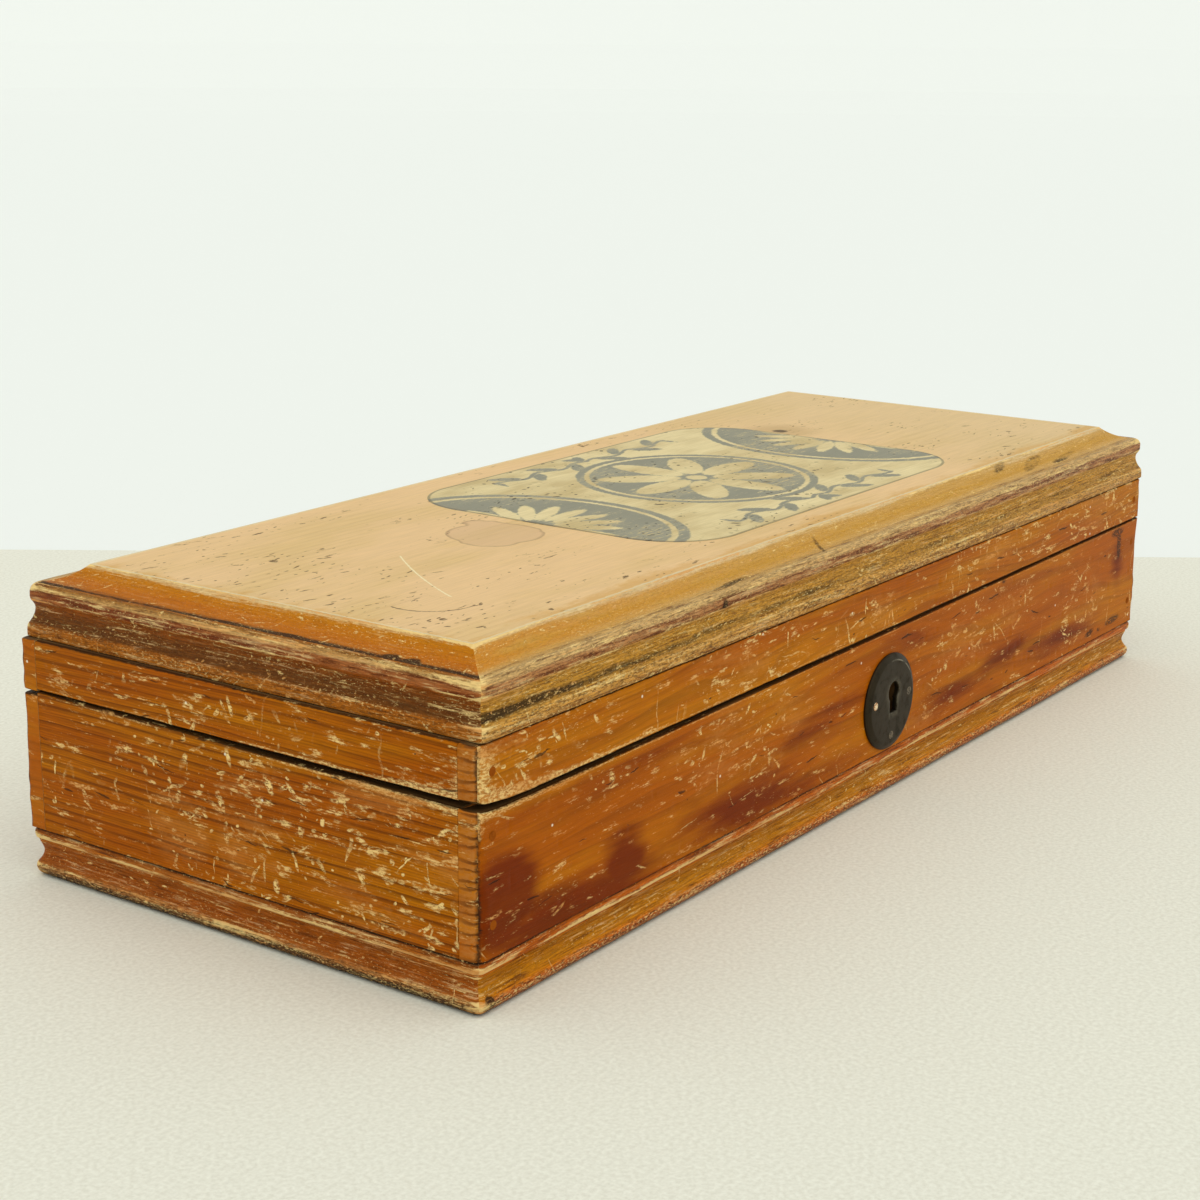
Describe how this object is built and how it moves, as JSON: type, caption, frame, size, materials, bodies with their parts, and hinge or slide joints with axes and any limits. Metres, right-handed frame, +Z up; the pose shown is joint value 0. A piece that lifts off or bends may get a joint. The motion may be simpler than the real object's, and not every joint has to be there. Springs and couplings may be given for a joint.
{
  "type": "wooden box",
  "caption": "Long low pine box with a hinged lid, moulded round its top and base, with lapped corners and a small box lock behind a round keyhole plate.",
  "frame": {"origin": "middle of the flat underside that the box stands on", "axes": "+X along the box to the right as seen from the front, -Y out of the front with the keyhole, +Z up"},
  "size_m": [0.2913, 0.1221, 0.0648],
  "materials": {
    "shellacked_pine": "worn shellac",
    "moulded_pine": "worn shellac",
    "dark_iron": "dark patina",
    "wire_iron": "dull, a little rust",
    "lock_brass": "tarnished",
    "lock_steel": "dull",
    "hinge_brass": "tarnished"
  },
  "bodies": {
    "case": {"front_board": "shellacked_pine", "back_board": "shellacked_pine", "left_end_board": "shellacked_pine", "right_end_board": "shellacked_pine", "base_board": "moulded_pine", "base_nails": "wire_iron", "case_corner_brads": "wire_iron", "escutcheon_pins": "wire_iron", "escutcheon": "dark_iron", "lock_plate": "lock_brass", "lock_cap": "lock_brass", "lock_key_post": "lock_steel", "lock_stumps": "lock_steel", "lock_screws": "lock_steel", "left_hinge_case_leaf": "hinge_brass", "left_hinge_pin": "lock_steel", "right_hinge_case_leaf": "hinge_brass", "right_hinge_pin": "lock_steel", "hinge_case_screws": "hinge_brass"},
    "lid": {"lid_top_board": "moulded_pine", "lid_front_rail": "shellacked_pine", "lid_back_rail": "shellacked_pine", "lid_left_rail": "shellacked_pine", "lid_right_rail": "shellacked_pine", "lid_corner_brads": "wire_iron", "left_hinge_lid_leaf": "hinge_brass", "right_hinge_lid_leaf": "hinge_brass", "hinge_lid_screws": "hinge_brass", "strike_plate": "lock_brass", "strike_hook": "lock_steel", "strike_screws": "lock_steel"},
    "bolt": {"lock_bolt": "lock_steel", "bolt_spring": "lock_steel"}
  },
  "joints": [
    {"name": "lid_hinge", "type": "hinge", "parent": "case", "child": "lid", "pos_m": [0, 0.0606, 0.0395], "axis": [-1, 0, 0], "range_deg": [0, 180]},
    {"name": "bolt_throw", "type": "slide", "parent": "case", "child": "bolt", "axis": [1, 0, 0], "range_m": [0, 0.0032]}
  ]
}
